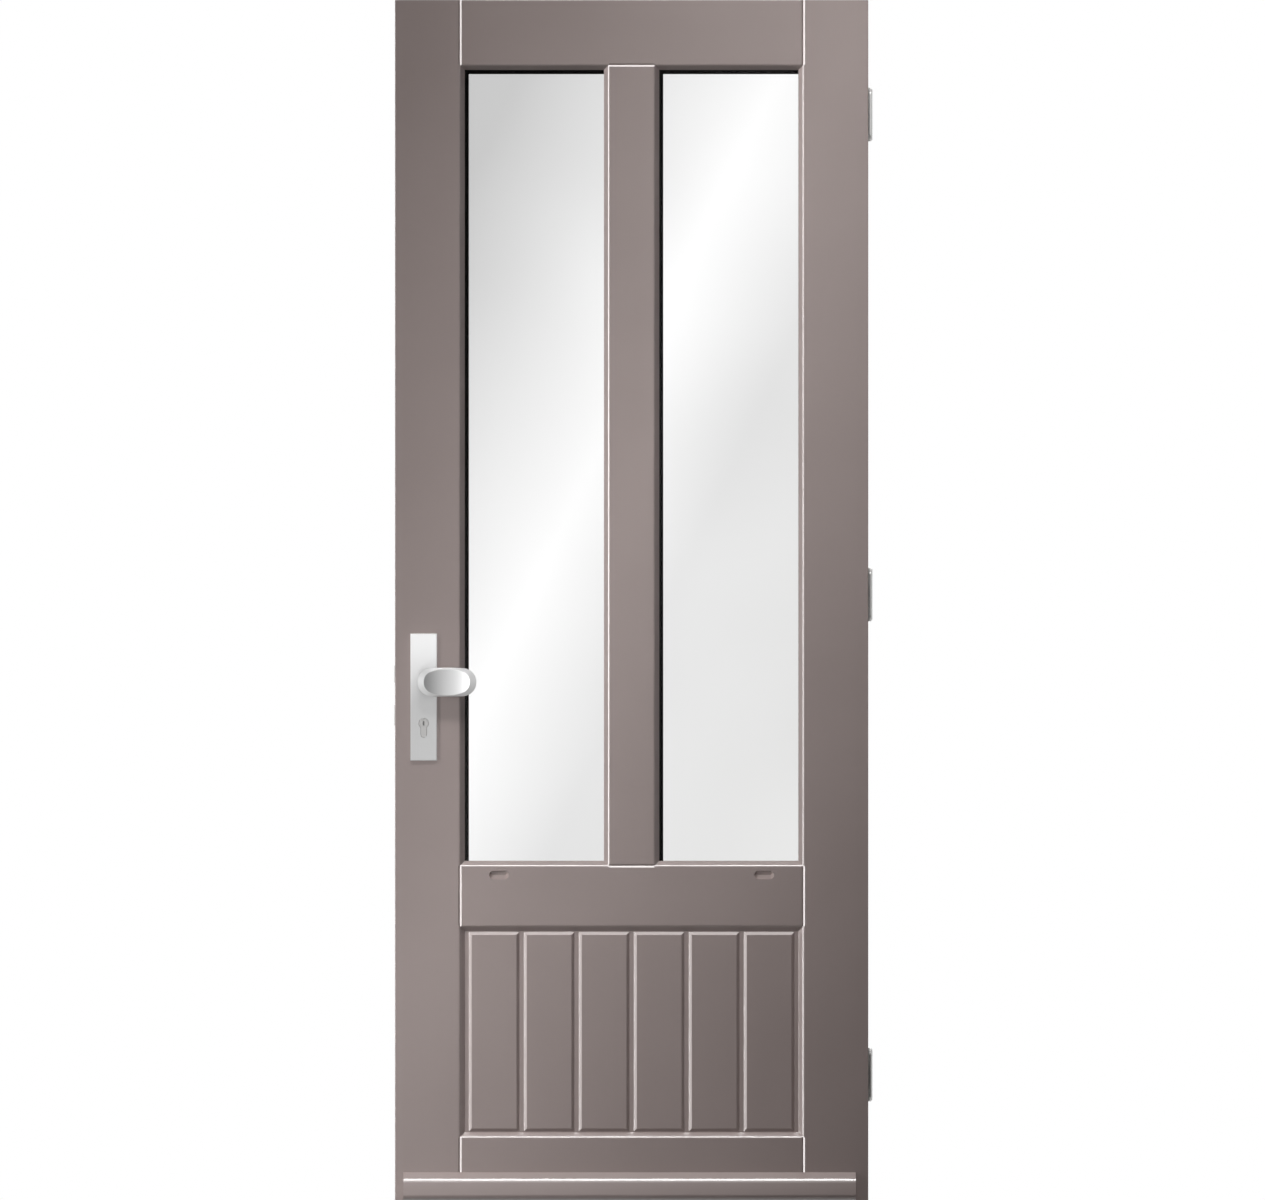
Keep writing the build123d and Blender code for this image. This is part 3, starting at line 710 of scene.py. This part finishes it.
@dataclass
class Studio:
    """White room, soft lamps from the left and from above, a graded reflector in front, and the camera."""

    view_width: float = 2.2179
    view_side: float = 1.6 * MM
    view_height: float = 1.063
    distance: float = 60.0
    sensor: float = 36.0
    floor_gap: float = 10 * MM
    floor_reach: float = 2.3
    floor_forward: float = 1.2
    floor_lift: float = 0.55
    floor_fade: float = 0.55
    floor_hub: float = 10 * MM
    floor_grid: tuple[int, int] = (24, 97)
    floor_cloud: float = 300 * MM
    floor_tones: tuple[str, str] = ("#ececea", "#f0f0ee")
    floor_rough: float = 0.6
    reflector_away: float = 1.6
    reflector_grid: tuple[int, int] = (30, 60)
    reflector_sweep: tuple[float, float] = (-60.0, 45.0)
    reflector_rise: tuple[float, float] = (-1.6, 4.0)
    sheen_line: tuple[float, float] = (0.0, 1.2384)
    sheen_lean: float = 25.4
    sheen_span: tuple[float, float] = (-0.9, 1.0)
    sheen_strength: float = 1.8
    sheen_mirrorings: int = 2
    sheen_tones: Stops = ((0.0, "#000000"), (0.06, "#1c1c1c"), (0.3, "#a6a6a6"), (0.474, "#ffffff"),
                          (0.65, "#a0a0a0"), (0.93, "#1c1c1c"), (1.0, "#000000"))
    backdrop_away: float = 1.7
    backdrop_reach: float = 6.0
    backdrop_rise: tuple[float, float] = (-3.0, 5.2)
    backdrop_grid: tuple[int, int] = (20, 20)
    backdrop_shift: float = -0.105
    backdrop_strength: float = 1.22
    backdrop_mirrorings: int = 0
    backdrop_tones: Stops = ((0.0, "#c5c5c5"), (0.26, "#c5c5c5"), (0.48, "#ffffff"), (0.6, "#e3e3e3"),
                             (1.0, "#e9e9e8"))
    lamp_away: float = 8.0
    screen: Stops = ((0.0, "#7b7b7b"), (0.474, "#ffffff"), (1.0, "#404040"))
    soft_lamps: tuple[SoftLamp, ...] = (
        SoftLamp("left_lamp", (-0.65, -0.76, 0.0), size=1.6, level=0.42, screened=True),
        SoftLamp("top_lamp", (0.0, -0.76, 0.65), size=1.6, level=0.285, screened=True),
        SoftLamp("room_lamp", (0.4, 0.76, 0.5), size=3.0, level=0.75, screened=False))
    edge_light_angle: float = 4.0
    edge_lights: tuple[RakingLamp, ...] = (
        RakingLamp("left_edge_light", (-0.985, -0.174, 0.0), level=0.8),
        RakingLamp("top_edge_light", (0.0, -0.174, 0.985), level=0.8))
    ambient: str = "#404040"

    def measure(self) -> None:
        """Reads where the leaf stands from the frame, and gathers its timber for the raking lamps."""
        left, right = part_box("lock_stile"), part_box("hinge_stile")
        self.middle = (left[0].x + right[1].x) / 2
        self.face = left[0].y
        self.bottom = left[0].z
        self.timber = bpy.data.collections.new("timber_for_raking_light")
        for name in TimberFrame.upright + TimberFrame.across:
            self.timber.objects.link(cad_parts[name])

    def diagonal(self, tree: Tree, coords: Socket, shift: float) -> Socket:
        """Adds the distance across the sheen's slanting line, mapped to 0 to 1 over its span.

        Args:
            tree: node tree of the reflector, the backdrop or a lamp.
            coords: place in the row frame, in metres.
            shift: how far the line moves towards the lower right, in metres.

        Returns:
            The mapped distance, 0 at the upper left end.
        """
        lean = math.radians(self.sheen_lean)
        across = (math.cos(lean), 0.0, -math.sin(lean))
        origin = (self.middle + self.sheen_line[0], 0.0, self.bottom + self.sheen_line[1])
        offset = node(tree, "ShaderNodeVectorMath", {"operation": "SUBTRACT", 1: origin}, {0: coords})
        reach = node(tree, "ShaderNodeVectorMath", {"operation": "DOT_PRODUCT", 1: across},
                     {0: offset.outputs["Vector"]})
        low, high = self.sheen_span
        made = node(tree, "ShaderNodeMapRange", {"From Min": low + shift, "From Max": high + shift},
                    {"Value": reach.outputs["Value"]})
        return made.outputs["Result"]

    def glow(self, name: str, shift: float, stops: Stops, strength: float, depth: int) -> Material:
        """Builds a graded light of the studio: a lit panel whose tone runs across the slanting line.

        Args:
            name: the material's name.
            shift: how far the line moves towards the lower right, in metres.
            stops: places from 0 to 1 across the line with their hex colours.
            strength: light of a white stop.
            depth: mirrorings after which the panel is dark.

        Returns:
            The material.
        """
        made = bpy.data.materials.new(name)
        made.use_nodes = True
        tree = made.node_tree
        tree.nodes.clear()
        coords = node(tree, "ShaderNodeTexCoord").outputs["Object"]
        colour = ramp(tree, self.diagonal(tree, coords, shift), stops)
        mirrored = node(tree, "ShaderNodeLightPath").outputs["Glossy Depth"]
        lit = node(tree, "ShaderNodeMath", {"operation": "LESS_THAN", 1: depth + 0.5}, {0: mirrored})
        power = node(tree, "ShaderNodeMath", {"operation": "MULTIPLY", 1: strength}, {0: lit.outputs["Value"]})
        light = node(tree, "ShaderNodeEmission", links={"Color": colour, "Strength": power.outputs["Value"]})
        node(tree, "ShaderNodeOutputMaterial", links={"Surface": light.outputs["Emission"]})
        made.cycles.emission_sampling = "NONE"
        return made

    def stand(self, name: str, grid: Points, material: Material) -> bpy.types.Object:
        """Adds one surface of the studio, which isn't part of the object."""
        mesh = sheet_mesh(name, grid)
        mesh.materials.append(material)
        made = bpy.data.objects.new(name, mesh)
        bpy.context.scene.collection.objects.link(made)
        LOG.info("%s: studio", name)
        return made

    def floor(self) -> None:
        """Adds a pale round floor, a disc of ring and turn, that fades out towards its rim."""
        rings, turns = self.floor_grid
        turn = np.linspace(0, 2 * math.pi, turns)[None, :]
        radius = np.linspace(self.floor_hub, self.floor_reach, rings)[:, None]
        centre = (self.middle, self.face - self.floor_forward, self.bottom - self.floor_gap)
        level = np.full(self.floor_grid, centre[2])
        grid = np.stack([centre[0] + radius * np.cos(turn), centre[1] + radius * np.sin(turn), level], -1)
        made, tree, shader, coords = blank("pale_studio_floor")
        cloud = noise(tree, coords, even(self.floor_cloud), detail=2.0)
        tree.links.new(mottle(tree, cloud, *self.floor_tones), shader.inputs["Base Color"])
        shader.inputs["Roughness"].default_value = self.floor_rough
        shader.inputs["Emission Color"].default_value = linear("#ffffff")
        seen = node(tree, "ShaderNodeLightPath").outputs["Is Camera Ray"]
        lift = node(tree, "ShaderNodeMath", {"operation": "MULTIPLY", 1: self.floor_lift}, {0: seen})
        tree.links.new(lift.outputs["Value"], shader.inputs["Emission Strength"])
        away = node(tree, "ShaderNodeVectorMath", {"operation": "DISTANCE", 1: centre}, {0: coords})
        rim = {"From Min": self.floor_fade * self.floor_reach, "From Max": self.floor_reach,
               "interpolation_type": "SMOOTHSTEP"}
        fade = node(tree, "ShaderNodeMapRange", rim, {"Value": away.outputs["Value"]})
        clear = node(tree, "ShaderNodeBsdfTransparent")
        mix = node(tree, "ShaderNodeMixShader", links={0: fade.outputs["Result"], 1: shader.outputs["BSDF"],
                                                       2: clear.outputs["BSDF"]})
        output = next(n for n in tree.nodes if n.type == "OUTPUT_MATERIAL")
        tree.links.new(mix.outputs["Shader"], output.inputs["Surface"])
        made.cycles.emission_sampling = "NONE"
        floor = self.stand("studio_floor", grid, made)
        floor.visible_diffuse = floor.visible_glossy = False

    def reflector(self) -> None:
        """Adds a curved panel in front that only mirrorings show, an upright cylinder of angle and height."""
        rows, columns = self.reflector_grid
        angle = np.radians(np.linspace(*self.reflector_sweep, columns))[None, :]
        height = self.bottom + np.linspace(*self.reflector_rise, rows)[:, None]
        shape = np.ones(self.reflector_grid)
        grid = np.stack([self.middle + self.reflector_away * np.sin(angle) * shape,
                         self.face - self.reflector_away * np.cos(angle) * shape, height * shape], -1)
        light = self.glow("graded_reflector", 0.0, self.sheen_tones, self.sheen_strength, self.sheen_mirrorings)
        made = self.stand("graded_reflector", grid, light)
        made.visible_camera = made.visible_diffuse = made.visible_transmission = False
        made.visible_shadow = made.visible_volume_scatter = False

    def backdrop(self) -> None:
        """Adds the pale graded wall that shows through the panes, a flat grid behind the leaf."""
        rows, columns = self.backdrop_grid
        across = self.middle + np.linspace(-self.backdrop_reach, self.backdrop_reach, columns)[None, :]
        up = self.bottom + np.linspace(*self.backdrop_rise, rows)[:, None]
        shape = np.ones(self.backdrop_grid)
        grid = np.stack([across * shape, (self.face + self.backdrop_away) * shape, up * shape], -1)
        light = self.glow("pale_graded_backdrop", self.backdrop_shift, self.backdrop_tones,
                          self.backdrop_strength, self.backdrop_mirrorings)
        made = self.stand("backdrop", grid, light)
        made.visible_camera = made.visible_diffuse = made.visible_glossy = False
        made.visible_shadow = made.visible_volume_scatter = False

    def grade(self, data: bpy.types.Light) -> None:
        """Puts a graded screen before a lamp, so its light is full on the slanting line and fades beside it.

        A ray from the lamp at P along I meets the leaf's face at P + I (face - Py) / Iy. That sets its strength.

        Args:
            data: the lamp's data.
        """
        data.use_nodes = True
        tree = data.node_tree
        tree.nodes.clear()
        ray = node(tree, "ShaderNodeNewGeometry")
        start = node(tree, "ShaderNodeSeparateXYZ", links={"Vector": ray.outputs["Position"]})
        run = node(tree, "ShaderNodeSeparateXYZ", links={"Vector": ray.outputs["Incoming"]})
        gap = node(tree, "ShaderNodeMath", {"operation": "SUBTRACT", 0: self.face}, {1: start.outputs["Y"]})
        reach = node(tree, "ShaderNodeMath", {"operation": "DIVIDE"},
                     {0: gap.outputs["Value"], 1: run.outputs["Y"]})
        landed = node(tree, "ShaderNodeVectorMath", {"operation": "MULTIPLY_ADD"},
                      {0: ray.outputs["Incoming"], 1: reach.outputs["Value"], 2: ray.outputs["Position"]})
        colour = ramp(tree, self.diagonal(tree, landed.outputs["Vector"], 0.0), self.screen)
        light = node(tree, "ShaderNodeEmission", {"Strength": 1.0}, {"Color": colour})
        node(tree, "ShaderNodeOutputLight", links={"Surface": light.outputs["Emission"]})

    def lamp(self, kind: SoftLamp) -> None:
        """Adds a soft lamp at its distance from the leaf.

        Args:
            kind: the lamp's name, direction, size, level and screen.
        """
        direction = np.array(kind.towards) / np.linalg.norm(kind.towards)
        data = bpy.data.lights.new(kind.name, "AREA")
        data.shape, data.size = "SQUARE", kind.size
        data.energy = kind.level * (math.pi * self.lamp_away) ** 2
        if kind.screened:
            self.grade(data)
        made = bpy.data.objects.new(kind.name, data)
        bpy.context.scene.collection.objects.link(made)
        target = np.array([self.middle, self.face, self.bottom + self.view_height])
        made.location = target + direction * self.lamp_away
        made.rotation_euler = Vector(direction).to_track_quat("Z", "Y").to_euler()
        made.visible_camera = False

    def edge_light(self, kind: RakingLamp) -> None:
        """Adds a raking lamp that picks out the timber's bevels and grooves and throws no shadow.

        Args:
            kind: the lamp's name, direction and level.
        """
        data = bpy.data.lights.new(kind.name, "SUN")
        data.angle = math.radians(self.edge_light_angle)
        data.energy = kind.level * math.pi
        data.use_shadow = False
        made = bpy.data.objects.new(kind.name, data)
        bpy.context.scene.collection.objects.link(made)
        made.rotation_euler = Vector(kind.towards).to_track_quat("Z", "Y").to_euler()
        made.light_linking.receiver_collection = self.timber

    def world(self) -> None:
        """Makes the room white where it is seen, mirrored or seen through glass, and dim as a light."""
        made = bpy.data.worlds.new("white_room")
        made.use_nodes = True
        tree = made.node_tree
        tree.nodes.clear()
        path = node(tree, "ShaderNodeLightPath")
        seen = node(tree, "ShaderNodeMath", {"operation": "MAXIMUM"},
                    {0: path.outputs["Is Camera Ray"], 1: path.outputs["Is Glossy Ray"]})
        shown = node(tree, "ShaderNodeMath", {"operation": "MAXIMUM"},
                     {0: seen.outputs["Value"], 1: path.outputs["Is Transmission Ray"]})
        colour = ramp(tree, shown.outputs["Value"], [(0.0, self.ambient), (1.0, "#ffffff")])
        light = node(tree, "ShaderNodeBackground", {"Strength": 1.0}, {"Color": colour})
        node(tree, "ShaderNodeOutputWorld", links={"Surface": light.outputs["Background"]})
        bpy.context.scene.world = made

    def camera(self) -> None:
        """Sets the camera square on to the leaf, far off with a long lens, so that no side shows."""
        data = bpy.data.cameras.new("front_camera")
        data.sensor_width = self.sensor
        data.lens = self.sensor * self.distance / self.view_width
        data.clip_end = 2 * self.distance
        made = bpy.data.objects.new("front_camera", data)
        bpy.context.scene.collection.objects.link(made)
        made.location = (self.middle + self.view_side, self.face - self.distance, self.bottom + self.view_height)
        made.rotation_euler = (math.pi / 2, 0, 0)
        bpy.context.scene.camera = made

    def build(self) -> None:
        """Sets up the whole studio."""
        self.measure()
        self.floor()
        self.reflector()
        self.backdrop()
        for kind in self.soft_lamps:
            self.lamp(kind)
        for kind in self.edge_lights:
            self.edge_light(kind)
        self.world()
        self.camera()
        bpy.context.scene.view_settings.view_transform = "Standard"


def main() -> None:
    """Dresses the leaf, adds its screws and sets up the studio."""
    logging.basicConfig(level=logging.INFO, format="%(name)s %(message)s")
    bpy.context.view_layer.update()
    TimberFrame().dress()
    Glazing().dress()
    for fittings in (LockSet(), Hinges()):
        fittings.dress()
        fittings.build()
    Studio().build()


if __name__ == "__main__":
    main()
